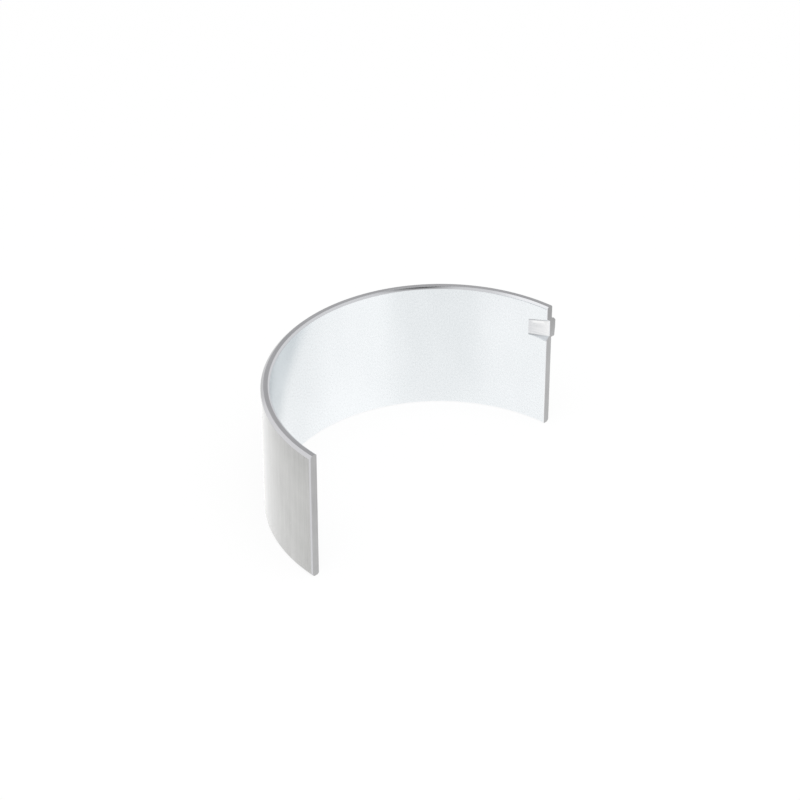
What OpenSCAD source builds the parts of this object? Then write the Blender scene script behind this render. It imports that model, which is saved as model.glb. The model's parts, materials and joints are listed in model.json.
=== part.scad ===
// Half shell of a plain bearing, for the big end of an engine's connecting rod.
// It is a strip of lined steel bent to a little under half a turn, with chamfered
// side edges and one locating tang pressed outwards at a joint face.
//
// +Z runs along the bore axis, +Y points to the crown of the arc, and the tang is
// at the +X end. The origin is on the bore axis, at the middle of the width.
// Lengths are in millimetres and angles in degrees.

/* [Shell] */
// Bore of the housing that the shell is pressed into
housing_d = 73; // [50:0.5:110]
// Thickness of the wall, backing and lining together
wall = 2; // [1.6:0.05:3.5]
// Width along the bore axis
width = 30.6; // [20:0.1:60]
// Angle that each end swings outwards when the shell is out of its housing
end_opening = 2.9; // [0:0.1:6]

/* [Edges] */
// Chamfer round the outside of both side edges
outer_chamfer = 0.6; // [0.1:0.05:0.9]
// Chamfer round the inside of both side edges
inner_chamfer = 0.4; // [0.1:0.05:0.6]
// Break along the long edges of both joint faces
joint_break = 0.25; // [0.05:0.05:0.4]

/* [Tang] */
// Distance from the top edge to the middle of the tang
tang_from_edge = 5.9; // [4.5:0.1:10]
// How far the wall is pushed outwards at the joint face
tang_push = 1.05; // [0.6:0.05:1.3]
// Length of the hollow, from the joint face to where it runs out into the bore
tang_length = 4.8; // [3:0.1:6]
// Slant of the tang, away from square to the joint face
tang_slant = 8; // [0:0.5:12]
// Width of the hollow's floor
hollow_floor_w = 3.9; // [2:0.1:5]
// Lean of the hollow's sides, away from square to its floor
hollow_side_lean = 38; // [0:1:50]
// Width of the lug across the shell's back
lug_w = 4.7; // [3:0.1:6]
// Bevel on the lug's corner nearer the side edge
lug_bevel = 0.6; // [0.3:0.05:1]
// Fall of the lug's crest towards its other corner
lug_fall = 0.22; // [0:0.02:0.4]
// Lean of the lug away from the side edge
lug_lean = 16; // [0:1:25]

/* [Hidden] */
$fn = 240;

// The strip keeps its length as it springs open, so its radius grows.
half_turn = 180;
arc = half_turn - 2 * end_opening;
outer_r = housing_d / 2 * half_turn / arc;
inner_r = outer_r - wall;

// How far a cutter runs on past the metal that it cuts
overrun = 1;

// The tang's floor is flat. It drops from the bore to the depth of the push.
tang_z = width / 2 - tang_from_edge;
tang_arc = tang_length / inner_r * half_turn / PI;
floor_run = inner_r * sin(tang_arc);
floor_drop = tang_push + inner_r * (1 - cos(tang_arc));
ramp = atan2(floor_drop, floor_run);
ramp_length = norm([floor_run, floor_drop]) + overrun;

// Section of the wall, on the +X side of the bore axis
module wall_section() {
    top = width / 2;
    polygon([
        [inner_r + inner_chamfer, -top],
        [outer_r - outer_chamfer, -top],
        [outer_r, -top + outer_chamfer],
        [outer_r, top - outer_chamfer],
        [outer_r - outer_chamfer, top],
        [inner_r + inner_chamfer, top],
        [inner_r, top - inner_chamfer],
        [inner_r, -top + inner_chamfer],
    ]);
}

// Places children at the tang's joint face: x along the radius, y along the strip.
module at_tang_end() {
    rotate([0, 0, end_opening]) children();
}

// The same at the other joint face
module at_plain_end() {
    mirror([1, 0, 0]) at_tang_end() children();
}

module bent_strip() {
    at_tang_end() rotate_extrude(angle = arc) wall_section();
}

// Two wedges that break the long edges of a joint face
module joint_edge_cutters() {
    far = joint_break + overrun;
    linear_extrude(height = width + 2 * overrun, center = true) {
        translate([inner_r, 0]) polygon([[far, -overrun], [-overrun, far], [-overrun, -overrun]]);
        translate([outer_r, 0]) polygon([[-far, -overrun], [overrun, far], [overrun, -overrun]]);
    }
}

// A straight bar along the tang's ramp, from a section drawn with x outwards from
// the ramp and y along the shell's width. Its ramp starts at the given radius.
module ramp_bar(radius) {
    translate([radius, 0, tang_z])
        rotate([0, 0, ramp])
            rotate([-tang_slant, 0, 0])
                translate([0, ramp_length, 0])
                    rotate([90, 0, 0])
                        linear_extrude(height = ramp_length + 2 * overrun) children();
}

// The hollow narrows from the bore down to its floor.
module hollow_section() {
    reach = tang_push + overrun;
    floor_half = hollow_floor_w / 2;
    mouth_half = floor_half + reach * tan(hollow_side_lean);
    polygon([[0, -floor_half], [0, floor_half], [-reach, mouth_half], [-reach, -mouth_half]]);
}

// The lug is rooted in the wall. Its crest is level up to the middle, then falls.
// Upright points lean over by their height above the shell's back.
module lug_section() {
    root = tang_push + wall / 3;
    half = lug_w / 2;
    upright = [
        [-root, -half],
        [-lug_fall, -half],
        [0, 0],
        [0, half - lug_bevel],
        [-lug_bevel, half],
        [-root, half],
    ];
    polygon([for (p = upright) [p[0], p[1] - (p[0] + tang_push) * tan(lug_lean)]]);
}

// The lug ends flush with the joint face.
module tang_lug() {
    room = outer_r + tang_push + overrun;
    intersection() {
        ramp_bar(outer_r + tang_push) lug_section();
        translate([0, 0, -width / 2]) cube([room, room, width]);
    }
}

module tang_hollow() {
    ramp_bar(inner_r + tang_push) hollow_section();
}

module bearing_shell() {
    color([0.80, 0.81, 0.82])
        difference() {
            union() {
                difference() {
                    bent_strip();
                    at_tang_end() joint_edge_cutters();
                    at_plain_end() joint_edge_cutters();
                }
                at_tang_end() tang_lug();
            }
            at_tang_end() tang_hollow();
        }
}

bearing_shell();
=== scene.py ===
# %% [markdown]
# # A half shell of an engine's plain bearing
#
# The object is one half of the bearing in the big end of a connecting rod: a strip of steel with a soft
# metal lining, bent to a little under half a turn. It stands on its side edge on a white table.
#
# The frame comes first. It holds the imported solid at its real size, in metres, with the bore axis along +Z
# and the crown of the arc towards +Y. Everything below takes its sizes from it.

# %% Load the frame
import bpy
import json
import math
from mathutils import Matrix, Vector


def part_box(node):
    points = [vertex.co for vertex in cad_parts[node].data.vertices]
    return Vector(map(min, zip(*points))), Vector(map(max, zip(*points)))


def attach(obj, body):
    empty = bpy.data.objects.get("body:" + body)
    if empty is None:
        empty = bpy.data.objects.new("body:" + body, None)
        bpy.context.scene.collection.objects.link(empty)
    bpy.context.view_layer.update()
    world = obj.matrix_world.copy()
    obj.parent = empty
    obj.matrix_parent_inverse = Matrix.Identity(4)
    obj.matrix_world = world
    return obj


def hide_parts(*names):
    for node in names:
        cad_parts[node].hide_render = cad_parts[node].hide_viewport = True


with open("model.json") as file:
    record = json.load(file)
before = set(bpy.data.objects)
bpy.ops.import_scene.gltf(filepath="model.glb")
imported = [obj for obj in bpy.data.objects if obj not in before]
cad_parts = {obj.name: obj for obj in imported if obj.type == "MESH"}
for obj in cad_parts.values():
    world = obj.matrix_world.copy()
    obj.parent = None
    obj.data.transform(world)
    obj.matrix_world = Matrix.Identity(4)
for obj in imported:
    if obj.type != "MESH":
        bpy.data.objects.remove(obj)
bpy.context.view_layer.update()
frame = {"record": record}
MM = 0.001


def in_mm(place):
    return [round(length / MM, 2) for length in place]


# %% [markdown]
# ## Sizes
#
# A bearing shell is made to a few sizes: the bore, the wall, the width and where the tang sits. The frame's
# record already states most of them on its mounts, so they are read from there. What it doesn't state, such
# as the outer chamfer, is written here once.

# %% Read the sizes
SHELL = "bearing_shell"
mounts = {mount["name"]: mount for mount in frame["record"]["mounts"]}
bore = mounts["journal_bore"]["dims"]
low, high = (Vector(corner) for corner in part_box(SHELL))

inner_r = bore["r_mm"] * MM
outer_r = high.y
wall = outer_r - inner_r
width = high.z - low.z
joint_axis = mounts["joint_face_tang"]["axis"]
end_opening = math.atan2(joint_axis[0], -joint_axis[1])
arc = math.pi - 2 * end_opening
arc_length = inner_r * arc

inner_chamfer = (width - bore["length_mm"] * MM) / 2
outer_chamfer = 0.6 * MM
joint_break = 0.25 * MM
print(f"bore radius {inner_r / MM:.2f}, wall {wall / MM:.2f}, width {width / MM:.2f} mm")
print(f"arc {math.degrees(arc):.1f} degrees, {arc_length / MM:.1f} mm along the bore")

# %% [markdown]
# ## The tang
#
# At one joint face the wall is pressed outwards by a punch. Inside it leaves a hollow whose flat floor runs
# up from the joint face until it meets the bore. Outside it leaves a lug that sits in a notch of the rod and
# stops the shell from turning. Both follow one ramp, so the ramp's angle is worked out first. The punch came
# down a little askew, so the tang slants across the strip.

# %% Sizes of the tang
tang_push = high.x / math.cos(end_opening) - outer_r
tang_length = 4.8 * MM
tang_slant = math.radians(8)
hollow_side_lean = math.radians(38)
lug_lean = math.radians(16)

tang_angle = tang_length / inner_r
floor_run = inner_r * math.sin(tang_angle)
floor_drop = tang_push + inner_r * (1 - math.cos(tang_angle))
ramp = math.atan2(floor_drop, floor_run)

TANG_SIZES = {
    "Bore Radius": inner_r,
    "Tang Height": mounts["locating_tang"]["pos_m"][2],
    "Tang Push": tang_push,
    "Tang Slant": math.tan(tang_slant),
    "Tang Angle": tang_angle,
    "Tang Ramp": ramp,
    "Ramp Cosine": math.cos(ramp),
    "Hollow Floor": 3.9 * MM,
    "Hollow Side Slope": math.tan(hollow_side_lean),
    "Lug Width": 4.7 * MM,
    "Lug Bevel": 0.6 * MM,
    "Lug Fall": 0.22 * MM,
    "Lug Lean": math.tan(lug_lean),
}
print(f"tang pushed out {tang_push / MM:.2f} mm on a ramp of {math.degrees(ramp):.1f} degrees")

# %% [markdown]
# ## Node graphs as expressions
#
# Both the shape and the finishes below are node trees. A tree of forty Math nodes is hard to read when each
# one is made and linked by hand, so a socket is wrapped in a small class: `a * 2 + b` adds its two nodes by
# itself. Every other node comes from `Graph.node`, which takes the node's type, its settings and then what
# goes into its sockets.

# %% Wires
class Wire:
    """An output socket of a node. Arithmetic on wires adds Math nodes to their graph."""

    def __init__(self, graph, socket):
        self.graph = graph
        self.socket = socket

    def math(self, operation, *terms):
        return self.graph.math(operation, self, *terms)

    def __add__(self, other):
        return self.graph.math("ADD", self, other)

    def __radd__(self, other):
        return self.graph.math("ADD", other, self)

    def __sub__(self, other):
        return self.graph.math("SUBTRACT", self, other)

    def __rsub__(self, other):
        return self.graph.math("SUBTRACT", other, self)

    def __mul__(self, other):
        return self.graph.math("MULTIPLY", self, other)

    def __rmul__(self, other):
        return self.graph.math("MULTIPLY", other, self)

    def __truediv__(self, other):
        return self.graph.math("DIVIDE", self, other)

    def __rtruediv__(self, other):
        return self.graph.math("DIVIDE", other, self)

    def __lt__(self, other):
        return self.graph.math("LESS_THAN", self, other)

    def __gt__(self, other):
        return self.graph.math("GREATER_THAN", self, other)


print("wires ready")

# %% Graphs
class Graph:
    """A node tree, filled by one method."""

    def __init__(self, tree):
        self.tree = tree

    def node(self, kind, settings=None, sockets=None, out=0):
        made = self.tree.nodes.new(kind)
        for name, value in (settings or {}).items():
            setattr(made, name, value)
        for key, value in (sockets or {}).items():
            if isinstance(value, Wire):
                self.tree.links.new(value.socket, made.inputs[key])
            else:
                made.inputs[key].default_value = value
        return Wire(self, made.outputs[out]) if made.outputs else made

    def math(self, operation, *terms):
        return self.node("ShaderNodeMath", {"operation": operation}, dict(enumerate(terms)))


print("graphs ready")

# %% [markdown]
# The tang is needed twice: the shape has to press it and the lining has to look pressed there. So its
# arithmetic is one function that works in either kind of tree.

# %% Places on the tang
# The ramp is followed to this many times the tang's angle, well past where it has left the bore.
RAMP_REACH = 2


def on_tang(along, across, size):
    """Where a place on the strip is on the tang.

    Gives its height above the tang's middle line, its distance outside the hollow's floor, and the
    factor that takes the ramp's radius at the joint face to its radius here. The sizes may be numbers
    or wires."""
    up = across - size["Tang Height"] + along * size["Tang Slant"]
    off_floor = up.math("ABSOLUTE") - size["Hollow Floor"] / 2
    turn = (along / size["Bore Radius"]).math("MINIMUM", size["Tang Angle"] * RAMP_REACH)
    fall = size["Ramp Cosine"] / (turn - size["Tang Ramp"]).math("COSINE")
    return up, off_floor, fall


print("tang arithmetic ready")

# %% [markdown]
# ## Finishes: what they share
#
# The strip is finished before and after it is bent, so most of its marks follow the strip and not the room:
# the grain on the back runs across the width, and the side edges are turned along the arc. The shape below
# stores a vector on each point with its place on the flat strip: along it, through the wall and across it.
# A finish reads that vector, so its pattern bends with the metal. Only the flat joint faces are drawn on
# the object's own coordinates.
#
# All the finishes are metal. Colours are written as the sRGB values that an eye sees, and turned into the
# linear values that the shader works in. A film of oil is a clear coat with a pale haze.

# %% Colours and swings
def linear(level):
    """The linear value of an sRGB level from 0 to 255."""
    share = level / 255
    return share / 12.92 if share <= 0.04045 else ((share + 0.055) / 1.055) ** 2.4


def colour(red, green, blue):
    return (linear(red), linear(green), linear(blue), 1)


def swing(pattern, strength):
    """A pattern from 0 to 1 as a swing about nought."""
    return strength * (pattern - 0.5)


print("white of 255 is", linear(255), "and grey of 128 is", round(linear(128), 3))

# %% A finish
UNROLLED = "unrolled"
FILM = {"Coat Roughness": 0.05, "Coat IOR": 2.0, "Sheen Roughness": 0.25}
HAZE_SHARE = 0.9

# A Mix node has sockets for each type of value. These are the ones for colours.
MIX_FIRST, MIX_SECOND, MIX_RESULT = 6, 7, 2


class Finish(Graph):
    """A metal material. Its patterns lie on the unrolled strip, or on the object's x, y and z."""

    def __init__(self, name, on_strip=True):
        self.material = bpy.data.materials.new(name)
        self.material.use_nodes = True
        super().__init__(self.material.node_tree)
        self.tree.nodes.clear()
        if on_strip:
            self.place = self.node("ShaderNodeAttribute", {"attribute_name": UNROLLED}, out="Vector")
        else:
            self.place = self.node("ShaderNodeTexCoord", out="Object")
        self.along, self.through, self.across = (
            self.node("ShaderNodeSeparateXYZ", None, {0: self.place}, out=axis) for axis in "XYZ")

    def noise(self, along, through, across, detail=3.0, roughness=0.55):
        """Noise from 0 to 1 whose grains are about these lengths, in mm, on the strip."""
        scale = tuple(1 / (grain * MM) for grain in (along, through, across))
        scaled = self.node("ShaderNodeVectorMath", {"operation": "MULTIPLY"}, {0: self.place, 1: scale})
        sockets = {"Vector": scaled, "Scale": 1.0, "Detail": detail, "Roughness": roughness}
        return self.node("ShaderNodeTexNoise", {"noise_dimensions": "3D"}, sockets)

    def step(self, value, start, end):
        """A smooth step: nought where the value, in mm, is at the start and one at the end."""
        sockets = {"Value": value / MM, "From Min": start, "From Max": end}
        return self.node("ShaderNodeMapRange", {"interpolation_type": "SMOOTHSTEP"}, sockets)

    def mix(self, factor, first, second):
        """A blend of two colours."""
        sockets = {"Factor": factor, MIX_FIRST: first, MIX_SECOND: second}
        return self.node("ShaderNodeMix", {"data_type": "RGBA"}, sockets, out=MIX_RESULT)

    def metal(self, base, roughness, height, depth, film=0.0):
        """Closes the graph with a metal shader, a bump of that depth in mm and a clear film of oil."""
        bump = self.node("ShaderNodeBump", None, {"Strength": 1.0, "Distance": depth * MM, "Height": height})
        sockets = {"Base Color": base, "Metallic": 1.0, "Roughness": roughness, "Normal": bump}
        sockets |= FILM | {"Coat Weight": film, "Sheen Weight": film * HAZE_SHARE}
        shader = self.node("ShaderNodeBsdfPrincipled", None, sockets)
        self.node("ShaderNodeOutputMaterial", None, {"Surface": shader})
        print("finish:", self.material.name, "with", len(self.tree.nodes), "nodes")
        return self.material


print("finishes read the attribute", UNROLLED)

# %% [markdown]
# ## The lining
#
# The bore is lined with a soft pale alloy, plated almost white. It has a soft sheen and a fine speckle. One
# even colour would look like paint, so the plating is darkened in a few wide patches of painted shade, which
# stand for darker surroundings reflected in it: a band near the tang, and others towards both ends. It is
# darker towards its upper edge too, also painted shade.

# %% Plating
DARK_PLATING = colour(198, 204, 207)
LIGHT_PLATING = colour(250, 253, 255)
PLATING_TONE = 0.94
REFLECTED_BAND_MIDDLE = 25 * MM
ASKEW = 0.7
UPPER_EDGE_PAINTED_SHADE = 0.015


def plating(finish, speckle):
    """Colour of the plating, darkened in wide patches by painted shade."""
    upwards = finish.across / (width / 2)

    def patch(place, start, end, darkening, more_above=None):
        """A patch of painted shade between these places in mm. It may be darker towards the upper edge."""
        if more_above:
            darkening = darkening + more_above * upwards
        return darkening * finish.step(place, start, end)

    off_reflected_band = (finish.along - REFLECTED_BAND_MIDDLE).math("ABSOLUTE")
    askew = finish.along + ASKEW * finish.across
    # Painted shade: wide darker patches that stand for darker surroundings reflected in the plating.
    shading = patch(off_reflected_band, start=15, end=5, darkening=0.25, more_above=0.0612)
    shading = shading + patch(finish.along, start=44, end=66, darkening=0.22)
    shading = shading + patch(finish.along, start=66, end=78, darkening=0.3)
    shading = shading + patch(askew, start=65, end=74, darkening=0.3)
    shading = shading + patch(finish.along, start=20, end=10, darkening=0.08, more_above=-0.0459)
    drift = finish.noise(along=9, through=3, across=22, detail=2)
    tone = PLATING_TONE + swing(speckle, 0.8) + swing(drift, 0.2)
    # Painted shade: the plating is made darker towards its upper edge.
    tone = tone - shading - UPPER_EDGE_PAINTED_SHADE * upwards
    return finish.mix(tone, DARK_PLATING, LIGHT_PLATING)


print("plating ready")

# %% [markdown]
# The pressed hollow of the tang is a shade darker. Its floor is streaked along the ramp and gets paler
# towards the joint face, with a painted glint, a pale strip, near its upper side. Painted shade runs as a
# dark crease along the floor's edges where the hollow is shallow.

# %% Hollow of the tang
DARK_FLOOR = colour(203, 205, 209)
LIGHT_FLOOR = colour(255, 255, 255)
HOLLOW_SIDE = colour(210, 214, 218)
CREASE_SHADE = colour(166, 169, 173)
FLOOR_TONE = -0.06
PALER_WHEN_DEEP = 0.5
PALER_IN_GLINT = 0.5
GLINT_HEIGHT = 1.45 * MM


def pressed_hollow(finish):
    """Where the lining is pressed in, and its colour there, with a painted glint and painted crease shade.
    """
    up, off_floor, fall = on_tang(finish.along, finish.across, TANG_SIZES)
    depth = (inner_r + tang_push) * fall - inner_r
    off_mouth = off_floor - depth * TANG_SIZES["Hollow Side Slope"]
    pressed = finish.step(depth, start=0, end=0.03) * finish.step(off_mouth, start=0, end=-0.06)

    deep = depth / tang_push
    # Painted glint: a pale strip just below the floor's upper edge.
    painted_glint = finish.step((up - GLINT_HEIGHT).math("ABSOLUTE"), start=0.4, end=0.1)
    painted_glint = painted_glint * finish.step(finish.along, start=0.9, end=1.7)
    painted_glint = painted_glint * finish.step(finish.along, start=4.4, end=3.4)
    streak = finish.noise(along=4, through=1, across=0.22)
    tone = streak + PALER_WHEN_DEEP * deep + FLOOR_TONE + PALER_IN_GLINT * painted_glint
    hollow_with_painted_light = finish.mix(tone, DARK_FLOOR, LIGHT_FLOOR)
    hollow_with_painted_light = finish.mix(finish.step(off_floor, start=-0.05, end=0.05), hollow_with_painted_light, HOLLOW_SIDE)
    # Painted shade: a dark crease along the floor's edges where the hollow is shallow.
    crease_shade = finish.step(off_floor.math("ABSOLUTE"), start=0.3, end=0) * (1.0 - deep)
    return pressed, finish.mix(crease_shade, hollow_with_painted_light, CREASE_SHADE)


print("hollow ready")

# %% Lining
LINING_ROUGHNESS = 0.22
ROUGHER_WHEN_PRESSED = 0.1


def make_lining():
    finish = Finish("pale_lining")
    speckle = finish.noise(along=0.3, through=1, across=0.5, detail=4, roughness=0.6)
    pressed, hollow_with_painted_light = pressed_hollow(finish)
    base = finish.mix(pressed, plating(finish, speckle), hollow_with_painted_light)
    roughness = LINING_ROUGHNESS + swing(speckle, 0.08) + ROUGHER_WHEN_PRESSED * pressed
    return finish.metal(base, roughness, speckle, depth=0.002)


lining = make_lining()

# %% [markdown]
# ## The steel back
#
# The back is bare steel, a warm grey with fine scratches across the strip, where it was ground, and cloudy
# stains from handling. It is darker towards its upper edge. A film of oil on it turns pale where it is seen
# at a slant: the clear coat and the haze give that, and a lighter colour alone would not.

# %% Steel back
DARK_STEEL = colour(158, 158, 156)
LIGHT_STEEL = colour(200, 200, 198)
STEEL_TONE = 0.5
UPPER_BAND_DULLNESS = 0.24
STEEL_ROUGHNESS = 0.3


def make_back():
    finish = Finish("ground_steel_back")
    scratches = finish.noise(along=0.16, through=1, across=9, detail=4, roughness=0.7)
    bands = finish.noise(along=1.4, through=1, across=40, detail=2)
    clouds = finish.noise(along=5, through=2, across=6, detail=4)
    tone = STEEL_TONE + swing(scratches, 1.1) + swing(bands, 0.5) + swing(clouds, 0.5)
    tone = tone - UPPER_BAND_DULLNESS * finish.step(finish.across, start=6, end=15)
    base = finish.mix(tone, DARK_STEEL, LIGHT_STEEL)
    roughness = STEEL_ROUGHNESS + swing(scratches, 0.16)
    return finish.metal(base, roughness, scratches, depth=0.006, film=1.0)


steel_back = make_back()

# %% [markdown]
# ## The cut edges
#
# The side edges are faced and chamfered, and the joint faces are broached. All of them are bare cut metal,
# so one function makes them: two greys, and tool marks whose grains are long one way. The flat rim is a
# duller grey with fine marks along the arc. The joint faces are a neutral grey with marks along their
# length.

# %% A cut face
CUT_TONE = 0.5


def make_cut(name, dark, light, marks, roughness, change=None, on_strip=True):
    """A cut face between two greys, with tool marks of these grain lengths in mm.

    A function may change the colour by the place on the face."""
    finish = Finish(name, on_strip)
    lines = finish.noise(*marks, detail=3, roughness=0.65)
    clouds = finish.noise(along=7, through=1.2, across=7, detail=3)
    tone = CUT_TONE + swing(lines, 0.9) + swing(clouds, 0.6)
    base = finish.mix(tone, colour(*dark), colour(*light))
    if change:
        base = change(finish, base)
    return finish.metal(base, roughness + swing(lines, 0.12), lines, depth=0.004)


flat_rim = make_cut(
    "faced_rim", dark=(148, 148, 151), light=(177, 177, 179), marks=(12, 0.1, 1), roughness=0.36)

# %% [markdown]
# The chamfers are brighter. The ones by the lining are cut through its pale metal, so they are brighter
# still, and brighter again by the tang. At the lower edge they are paler still, a painted reflection of the
# white table that they face. The outer ones get paler towards the plain end, a painted sheen.

# %% Chamfers
OUTER_PAINTED_SHEEN = colour(213, 213, 216)
OUTER_PAINTED_SHEEN_SHARE = 0.8
INNER = colour(206, 207, 210)
INNER_BY_TANG = colour(238, 239, 242)
INNER_LOWER_PAINTED_REFLECTION = colour(247, 248, 250)


def pale_metal_and_painted_light(finish, base):
    # Painted sheen: the outer chamfer is paler towards the plain end.
    sheen_at_plain_end = OUTER_PAINTED_SHEEN_SHARE * finish.step(finish.along, start=82, end=92)
    outer = finish.mix(sheen_at_plain_end, base, OUTER_PAINTED_SHEEN)
    inner = finish.mix(finish.step(finish.along, start=15, end=6), INNER, INNER_BY_TANG)
    # Painted reflection of the white table: the inner chamfer is paler at its lower edge.
    inner = finish.mix(finish.step(finish.across, start=0, end=-5), inner, INNER_LOWER_PAINTED_REFLECTION)
    return finish.mix(finish.step(finish.through, start=1.2, end=0.8), outer, inner)


chamfer = make_cut(
    "cut_chamfer", dark=(174, 174, 176), light=(202, 202, 204), marks=(12, 0.1, 0.1), roughness=0.18,
    change=pale_metal_and_painted_light)

# %% [markdown]
# A joint face is flat, so its marks are straight. They are drawn on the object's coordinates, which do not
# bend with the strip. The face with the tang is a little duller towards its upper end.

# %% Joint faces
DULL_JOINT = colour(133, 133, 134)
DULL_JOINT_SHARE = 0.4


def dull_by_the_tang(finish, base):
    outwards, height = finish.along, finish.across
    by_tang = finish.step(outwards, start=30, end=35) * finish.step(height, start=5, end=13)
    return finish.mix(by_tang * DULL_JOINT_SHARE, base, DULL_JOINT)


joint_cut = make_cut(
    "broached_joint_face", dark=(166, 166, 167), light=(201, 201, 201), marks=(0.12, 1, 5), roughness=0.4,
    change=dull_by_the_tang, on_strip=False)

# %% [markdown]
# ## The shell as a swept section
#
# The shell follows a rule: one section of the wall carried round an arc. It could be spun in mesh code, but
# a Geometry Nodes tree keeps the rule and its sizes in view. The strip is swept straight first and bent
# last, as one Set Position: each point knows its place on the straight strip, so the arc, the broken joint
# edges and the pressed tang are a few lines of arithmetic on its radius.

# %% Inputs of the tree
SHELL_SIZES = TANG_SIZES | {
    "Wall": wall,
    "Width": width,
    "End Opening": end_opening,
    "Arc Length": arc_length,
    "Outer Chamfer": outer_chamfer,
    "Inner Chamfer": inner_chamfer,
    "Corner Radius": 0.45 * MM,
    "Joint Break": joint_break,
    "Inner Break": joint_break / 2,
    "Press Blend": 0.05 * MM,
    "Fine Step": joint_break / 2,
    "Width Step": 0.1 * MM,
}
SHELL_COUNTS = {"Tang Steps": 48, "Arc Steps": 72, "End Steps": 6}


def tree_with_inputs(name, lengths, counts):
    """A geometry tree with named inputs. Returns its graph and a wire for each input."""
    tree = bpy.data.node_groups.new(name, "GeometryNodeTree")
    tree.interface.new_socket("Geometry", in_out="OUTPUT", socket_type="NodeSocketGeometry")
    for kind, values in (("NodeSocketFloat", lengths), ("NodeSocketInt", counts)):
        for label, value in values.items():
            tree.interface.new_socket(label, in_out="INPUT", socket_type=kind).default_value = value
    group_input = tree.nodes.new("NodeGroupInput")
    graph = Graph(tree)
    labels = [*lengths, *counts]
    return graph, {label: Wire(graph, group_input.outputs[label]) for label in labels}


graph, size = tree_with_inputs("bent_strip", SHELL_SIZES, SHELL_COUNTS)
print("tree inputs:", len(size))

# %% [markdown]
# The section lies flat: x through the wall from its middle, y across the width. It is a rectangle whose
# corners are cut twice by Fillet Curve, once straight for the chamfers and once round, to take off the
# chamfers' own corners.

# %% Section of the wall
STRAIGHT_CUT = 1
ROUND_CUT = 6


def part_of(vector, axis):
    return graph.node("ShaderNodeSeparateXYZ", None, {0: vector}, out=axis)


def cut_corners(curve, radius, count):
    sockets = {"Curve": curve, "Count": count, "Radius": radius, "Limit Radius": True}
    return graph.node("GeometryNodeFilletCurve", {"mode": "POLY"}, sockets)


place = graph.node("GeometryNodeInputPosition")
is_outside = part_of(place, "X") > 0.0
chamfer_cut = size["Inner Chamfer"] + is_outside * (size["Outer Chamfer"] - size["Inner Chamfer"])
rectangle = {"Width": size["Wall"], "Height": size["Width"]}
section = graph.node("GeometryNodeCurvePrimitiveQuadrilateral", None, rectangle)
section = cut_corners(section, chamfer_cut, STRAIGHT_CUT)
section = cut_corners(section, size["Corner Radius"], ROUND_CUT)
print("section cut")

# %% [markdown]
# Only the section's two long sides are cut into short pieces, because only they carry the tang. Each point
# then stores its place through the wall and across it.

# %% Points of the section
def store(geometry, name, value, kind="FLOAT"):
    sockets = {"Geometry": geometry, "Name": name, "Value": value}
    return graph.node("GeometryNodeStoreNamedAttribute", {"data_type": kind, "domain": "POINT"}, sockets)


next_point = graph.node("GeometryNodeOffsetPointInCurve", None, {"Offset": 1}, out="Point Index")
sockets = {"Value": place, "Index": next_point}
next_place = graph.node("GeometryNodeFieldAtIndex", {"data_type": "FLOAT_VECTOR"}, sockets)
reach = graph.node("ShaderNodeVectorMath", {"operation": "DISTANCE"}, {0: place, 1: next_place}, out="Value")
is_long = reach > size["Width"] / 2
cuts = is_long * (reach / size["Width Step"] - 1.0).math("FLOOR")
section = graph.node("GeometryNodeSubdivideCurve", None, {"Curve": section, "Cuts": cuts})
section = store(section, "through", part_of(place, "X") + size["Wall"] / 2)
section = store(section, "across", part_of(place, "Y"))
print("section drawn")

# %% [markdown]
# The path is a row of points in three runs: fine steps over the tang, longer ones round the arc, and a few
# fine ones for the broken edge at the other end. Curve to Mesh sweeps the section along it.

# %% Path along the strip
step_index = graph.node("GeometryNodeInputIndex")
tang_run = size["Tang Steps"] * size["Fine Step"]
end_run = size["End Steps"] * size["Fine Step"]
arc_step = (size["Arc Length"] - tang_run - end_run) / size["Arc Steps"]
after_tang = (step_index - size["Tang Steps"]).math("MAXIMUM", 0.0)
after_arc = (after_tang - size["Arc Steps"]).math("MAXIMUM", 0.0)
along = step_index.math("MINIMUM", size["Tang Steps"]) * size["Fine Step"]
along = along + after_tang.math("MINIMUM", size["Arc Steps"]) * arc_step + after_arc * size["Fine Step"]

points = size["Tang Steps"] + size["Arc Steps"] + size["End Steps"] + 1
path = graph.node("GeometryNodeCurvePrimitiveLine", None, {"End": (0.0, 0.0, 1.0)})
path = graph.node("GeometryNodeResampleCurve", {"mode": "COUNT"}, {"Curve": path, "Count": points})
path = store(path, "along", along)
swept = {"Curve": path, "Profile Curve": section, "Fill Caps": True}
strip = graph.node("GeometryNodeCurveToMesh", None, swept)
print("strip swept")

# %% [markdown]
# Rows of points run straight along the strip, but the tang slants across it. An edge that crosses rows
# comes out as a staircase. So the rows near the tang are slid along its slant until they lie on its edges,
# and they are straight again farther round the arc.

# %% Rows along the tang's edges
SLID_REACH = 5.0 * MM
SLID_FADE = 1.5 * MM
STRAIGHT_AGAIN = 4


def stored(name):
    return graph.node("GeometryNodeInputNamedAttribute", {"data_type": "FLOAT"}, {"Name": name})


along, through, across = stored("along"), stored("through"), stored("across")
from_tang = across - size["Tang Height"]
near = (SLID_REACH - from_tang.math("ABSOLUTE")) / SLID_FADE
near = near.math("MINIMUM", 1.0).math("MAXIMUM", 0.0)
on_edges = ((from_tang / size["Width Step"]).math("FLOOR") + 0.5) * size["Width Step"]
slid_back = (tang_run * STRAIGHT_AGAIN - along) / (STRAIGHT_AGAIN - 1)
slide = along.math("MINIMUM", slid_back).math("MAXIMUM", 0.0) * size["Tang Slant"]
across = across + near * (on_edges - from_tang - slide)
print("rows slid onto the tang's edges")

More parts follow.
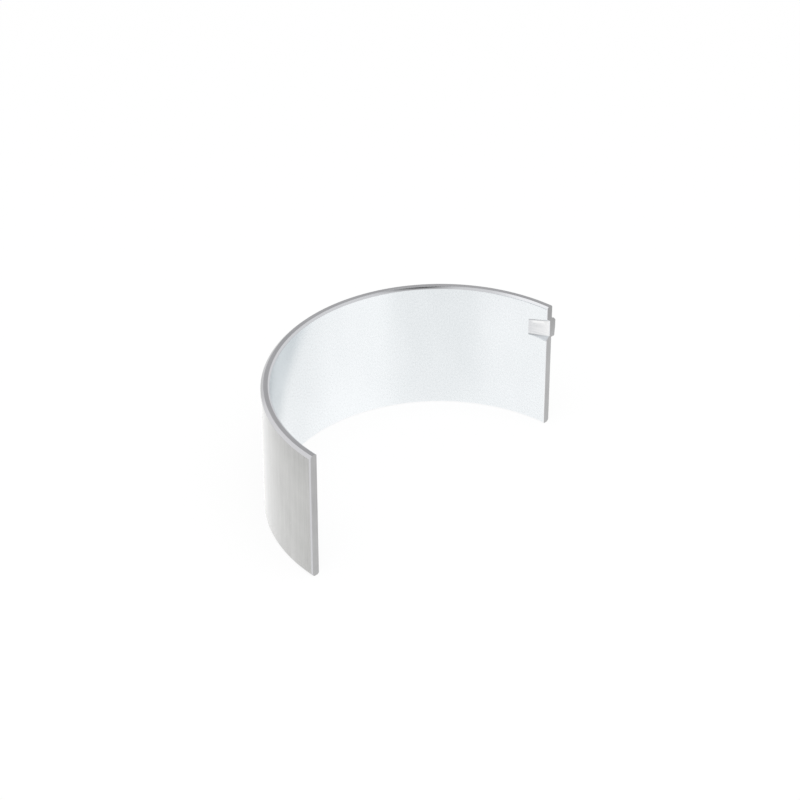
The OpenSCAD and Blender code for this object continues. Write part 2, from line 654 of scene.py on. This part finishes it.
# %% [markdown]
# Now the radius. It starts as the bore's plus the place through the wall. Near a joint face it is held
# between the two broken edges. In the hollow it is pushed out to the ramp, or to the hollow's sloping side,
# and a smooth maximum leaves the small round that a punch leaves.

# %% Radius of the wall and the hollow
turn = along / size["Bore Radius"]
from_joint = along.math("MINIMUM", size["Arc Length"] - along)
inner_broken = (size["Inner Break"] - from_joint).math("MAXIMUM", 0.0)
outer_broken = (size["Joint Break"] - from_joint).math("MAXIMUM", 0.0)
back_r = size["Bore Radius"] + size["Wall"]
radius = size["Bore Radius"] + through
radius = radius.math("MAXIMUM", size["Bore Radius"] + inner_broken)
radius = radius.math("MINIMUM", back_r - outer_broken)

up, off_floor, fall = on_tang(along, across, size)
side_rise = off_floor.math("MAXIMUM", 0.0) / size["Hollow Side Slope"]
hollow_r = (size["Bore Radius"] + size["Tang Push"]) * fall - side_rise + inner_broken
radius = radius.math("SMOOTH_MAX", hollow_r, size["Press Blend"])
print("radius worked out for wall, joints and hollow")

# %% [markdown]
# On the back the radius is raised to the lug. Its crest is level up to the middle, falls towards the lower
# corner and is bevelled at the upper one. The whole lug leans over by its height above the back.

# %% Lug on the back
HAIR = 0.01 * MM
LUG_SIDE_SLOPE = 20.0
BACK_SHARE = 0.9

half_lug = size["Lug Width"] / 2
bevel_drop = (up - half_lug + size["Lug Bevel"]).math("MAXIMUM", 0.0)
fall_drop = (0.0 - up).math("MAXIMUM", 0.0) * size["Lug Fall"] / half_lug
side_drop = (up.math("ABSOLUTE") - half_lug - HAIR) * LUG_SIDE_SLOPE
lug_r = (back_r + size["Tang Push"]) * fall - (bevel_drop + fall_drop).math("MAXIMUM", side_drop)
on_back = through > size["Wall"] * BACK_SHARE
lug_rise = on_back * (lug_r - radius).math("MAXIMUM", 0.0)
lean = on_back * (lug_r - back_r).math("MAXIMUM", 0.0) * size["Lug Lean"]
radius = radius + lug_rise
height = across - lean
print("lug raised")

# %% [markdown]
# The bend itself is a turn of each point about the bore axis. The place on the flat strip is kept as a
# vector for the finishes. The sweep leaves the faces pointing inwards, so they are flipped. The outlines of
# the joint faces and of the lug are marked sharp, and the rest is shaded smooth.

# %% Bend and sharp outlines
SHARP_TURN = math.radians(25)

angle = turn + size["End Opening"]
bent = {"X": radius * angle.math("COSINE"), "Y": radius * angle.math("SINE"), "Z": height}
flat = {"X": along, "Y": through, "Z": across}
shell = store(strip, UNROLLED, graph.node("ShaderNodeCombineXYZ", None, flat), "FLOAT_VECTOR")
bent_place = graph.node("ShaderNodeCombineXYZ", None, bent)
shell = graph.node("GeometryNodeSetPosition", None, {"Geometry": shell, "Position": bent_place})
shell = graph.node("GeometryNodeFlipFaces", None, {"Mesh": shell})
shell = graph.node("GeometryNodeRealizeInstances", None, {"Geometry": shell})

smooth = {"Geometry": shell, "Shade Smooth": True}
shell = graph.node("GeometryNodeSetShadeSmooth", {"domain": "FACE"}, smooth)
on_lug = on_back * (along < tang_run)
at_joint = from_joint < size["Joint Break"] + HAIR
edge_angle = graph.node("GeometryNodeInputMeshEdgeAngle")
cut_edges = (edge_angle > SHARP_TURN) * at_joint.math("MAXIMUM", on_lug)
sharp = {"Geometry": shell, "Selection": cut_edges, "Shade Smooth": False}
shell = graph.node("GeometryNodeSetShadeSmooth", {"domain": "EDGE"}, sharp)
print("strip bent")

# %% [markdown]
# The finishes are laid on by where a face is on the section. The lining covers all first, and each later
# finish takes its own faces from it. A face is part of a chamfer once it has turned a little off the flat.

# %% Lay on the finishes
EDGE_TURN = 0.012 * MM

is_outer_half = through > size["Wall"] / 2
is_inner_half = through < size["Wall"] / 2
break_here = size["Joint Break"] - is_inner_half * (size["Joint Break"] - size["Inner Break"])
rim_turn = EDGE_TURN + 2 * EDGE_TURN * is_outer_half
zones = [
    (lining, None),
    (steel_back, through > size["Wall"] - EDGE_TURN),
    (chamfer, (through > EDGE_TURN) * (through < size["Wall"] - EDGE_TURN)),
    (chamfer, (from_joint < break_here - HAIR) * (lug_rise < HAIR)),
    (flat_rim, across.math("ABSOLUTE") > size["Width"] / 2 - rim_turn),
    (joint_cut, from_joint < HAIR),
]
for finish, faces in zones:
    sockets = {"Geometry": shell, "Material": finish}
    if faces is not None:
        sockets["Selection"] = faces
    shell = graph.node("GeometryNodeSetMaterial", None, sockets)
graph.node("NodeGroupOutput", None, {"Geometry": shell})
print("tree has", len(graph.tree.nodes), "nodes")

# %% [markdown]
# A modifier runs the tree. Its inputs are set by each socket's identifier before it is first evaluated. The
# result is then taken as a plain mesh, so that nothing depends on the modifier any more.

# %% Run the tree and keep a plain mesh
def run_tree(name, tree, values):
    """A new object whose mesh is what the tree makes with these values."""
    holder = bpy.data.objects.new(name, bpy.data.meshes.new(name + "_seed"))
    bpy.context.scene.collection.objects.link(holder)
    modifier = holder.modifiers.new("shape", "NODES")
    modifier.node_group = tree
    for item in tree.interface.items_tree:
        if item.in_out == "INPUT":
            modifier[item.identifier] = values[item.name]
    depsgraph = bpy.context.evaluated_depsgraph_get()
    mesh = bpy.data.meshes.new_from_object(holder.evaluated_get(depsgraph), depsgraph=depsgraph)
    holder.modifiers.remove(modifier)
    holder.data = mesh
    mesh.name = name
    return holder


shell_piece = run_tree("half_shell", graph.tree, SHELL_SIZES | SHELL_COUNTS)
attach(shell_piece, "root")
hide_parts(SHELL)
mesh = shell_piece.data
mesh.calc_loop_triangles()
print(f"half shell: {len(mesh.vertices)} points, {len(mesh.loop_triangles)} triangles")

# %% [markdown]
# ## Table
#
# The table is plain white. Metal shows what is around it, so the table glows white to reflections. To the
# camera it is mostly that glow too, and the rest is dull white that keeps the shell's faint shadow.

# %% Table
TABLE_SIZE = 6.0
TABLE_GREY = 0.9
GLOW_TO_CAMERA = 0.9


def ray_kind(graph, name):
    return graph.node("ShaderNodeLightPath", out=name)


def make_table_finish():
    material = bpy.data.materials.new("white_table")
    material.use_nodes = True
    white = Graph(material.node_tree)
    white.tree.nodes.clear()
    glow = white.node("ShaderNodeEmission", None, {"Color": (1, 1, 1, 1), "Strength": 1.0})
    shading = white.node("ShaderNodeBsdfDiffuse", None, {"Color": (TABLE_GREY, TABLE_GREY, TABLE_GREY, 1)})
    share = ray_kind(white, "Is Camera Ray") * GLOW_TO_CAMERA + ray_kind(white, "Is Glossy Ray")
    shader = white.node("ShaderNodeMixShader", None, {0: share, 1: shading, 2: glow})
    white.node("ShaderNodeOutputMaterial", None, {"Surface": shader})
    return material


half = TABLE_SIZE / 2
corners = [(-half, -half, low.z), (half, -half, low.z), (half, half, low.z), (-half, half, low.z)]
table_mesh = bpy.data.meshes.new("table")
table_mesh.from_pydata(corners, [], [(0, 1, 2, 3)])
table_mesh.materials.append(make_table_finish())
table = bpy.data.objects.new("table", table_mesh)
bpy.context.scene.collection.objects.link(table)
print("table at z", round(low.z / MM, 2), "mm")

# %% [markdown]
# ## Light
#
# The room is white, at a strength of one, to the camera and to reflections: a colour then renders about as
# it is written. Bright metal in a white room has no edges, so a studio hangs dark cards round it. Two are
# drawn on the sky here as soft ovals, and only reflections see them. The flat rim mirrors the overhead one
# as a dark streak.

# %% Dark cards
CARD_RUN = Vector((0.64, 0.77, 0.0))
CARD_EDGE = {"From Min": 1.6, "From Max": 0.4}

world = bpy.data.worlds.new("white_room")
bpy.context.scene.world = world
world.use_nodes = True
room = Graph(world.node_tree)
room.tree.nodes.clear()
direction_seen = room.node("ShaderNodeTexCoord", out="Generated")


def dark_card(towards, half_width, half_length, darkness):
    """How dark an oval card makes the sky. Its half sizes are angles in degrees."""
    middle = Vector(towards).normalized()
    side = middle.cross(CARD_RUN).normalized()
    off_middle = 0.0
    for direction, half_size in ((side, half_width), (side.cross(middle), half_length)):
        sockets = {0: direction_seen, 1: direction / math.sin(math.radians(half_size))}
        off = room.node("ShaderNodeVectorMath", {"operation": "DOT_PRODUCT"}, sockets, out="Value")
        off_middle = off_middle + off * off
    sockets = CARD_EDGE | {"Value": off_middle}
    return darkness * room.node("ShaderNodeMapRange", {"interpolation_type": "SMOOTHSTEP"}, sockets)


overhead_card = dark_card(towards=(-0.02, -0.195, 0.98), half_width=9.5, half_length=29, darkness=0.6)
front_card = dark_card(towards=(-0.35, -0.6, 0.72), half_width=15, half_length=45, darkness=0.36)
print("two dark cards drawn")

# %% [markdown]
# Dull surfaces, here the table, are lit by a dimmer room and by a large round lamp overhead. Reflections
# don't see the lamp, so it leaves no hot spot on the metal.

# %% Room and lamp
DIM_ROOM = 0.6
LAMP_SIZE = 1.2
LAMP_POWER = 9.0
LAMP_PLACE = Vector((-0.2, -0.2, 1.0))


def background(grey):
    return room.node("ShaderNodeBackground", None, {"Color": (grey, grey, grey, 1), "Strength": 1.0})


reflected = ray_kind(room, "Is Glossy Ray")
seen = reflected + ray_kind(room, "Is Camera Ray") + ray_kind(room, "Is Transmission Ray")
whiteness = seen.math("MINIMUM", 1.0)
sky = room.node("ShaderNodeMixShader", None, {0: whiteness, 1: background(DIM_ROOM), 2: background(1.0)})
shade = (overhead_card + front_card) * reflected
sky = room.node("ShaderNodeMixShader", None, {0: shade, 1: sky, 2: background(0.0)})
room.node("ShaderNodeOutputWorld", None, {"Surface": sky})

lamp_data = bpy.data.lights.new("overhead_softbox", "AREA")
lamp_data.shape = "DISK"
lamp_data.size = LAMP_SIZE
lamp_data.energy = LAMP_POWER
lamp = bpy.data.objects.new("overhead_softbox", lamp_data)
lamp.location = LAMP_PLACE
lamp.rotation_euler = (-LAMP_PLACE).to_track_quat("-Z", "Y").to_euler()
lamp.visible_glossy = False
bpy.context.scene.collection.objects.link(lamp)
bpy.context.scene.view_settings.view_transform = "Standard"
print("room and softbox lit")

# %% [markdown]
# ## Camera
#
# A long lens, from above the open side and a little to the left. The values come from matching the edges of
# the shell's rims, joint faces and lug.

# %% Camera
LENS_MM = 129.5
SENSOR_MM = 36.0
azimuth, elevation = math.radians(-47.495), math.radians(35.246)
camera_distance = 603.6 * MM
aim_right, aim_up = -8.85 * MM, 8.65 * MM

level = Vector((math.sin(azimuth), -math.cos(azimuth), 0))
backward = level * math.cos(elevation) + Vector((0, 0, math.sin(elevation)))
rightward = Vector((math.cos(azimuth), math.sin(azimuth), 0))
upward = backward.cross(rightward)
aim = rightward * aim_right + upward * aim_up

camera_data = bpy.data.cameras.new("camera")
camera_data.lens = LENS_MM
camera_data.sensor_width = SENSOR_MM
camera = bpy.data.objects.new("camera", camera_data)
camera.location = aim + backward * camera_distance
camera.rotation_euler = backward.to_track_quat("Z", "Y").to_euler()
bpy.context.scene.collection.objects.link(camera)
bpy.context.scene.camera = camera
print("camera at", in_mm(camera.location), "mm")

# %% [markdown]
# ## Last update
#
# The view layer is updated once more. The visual shell has to stay inside the solid's box.

# %% Update the view layer
bpy.context.view_layer.update()
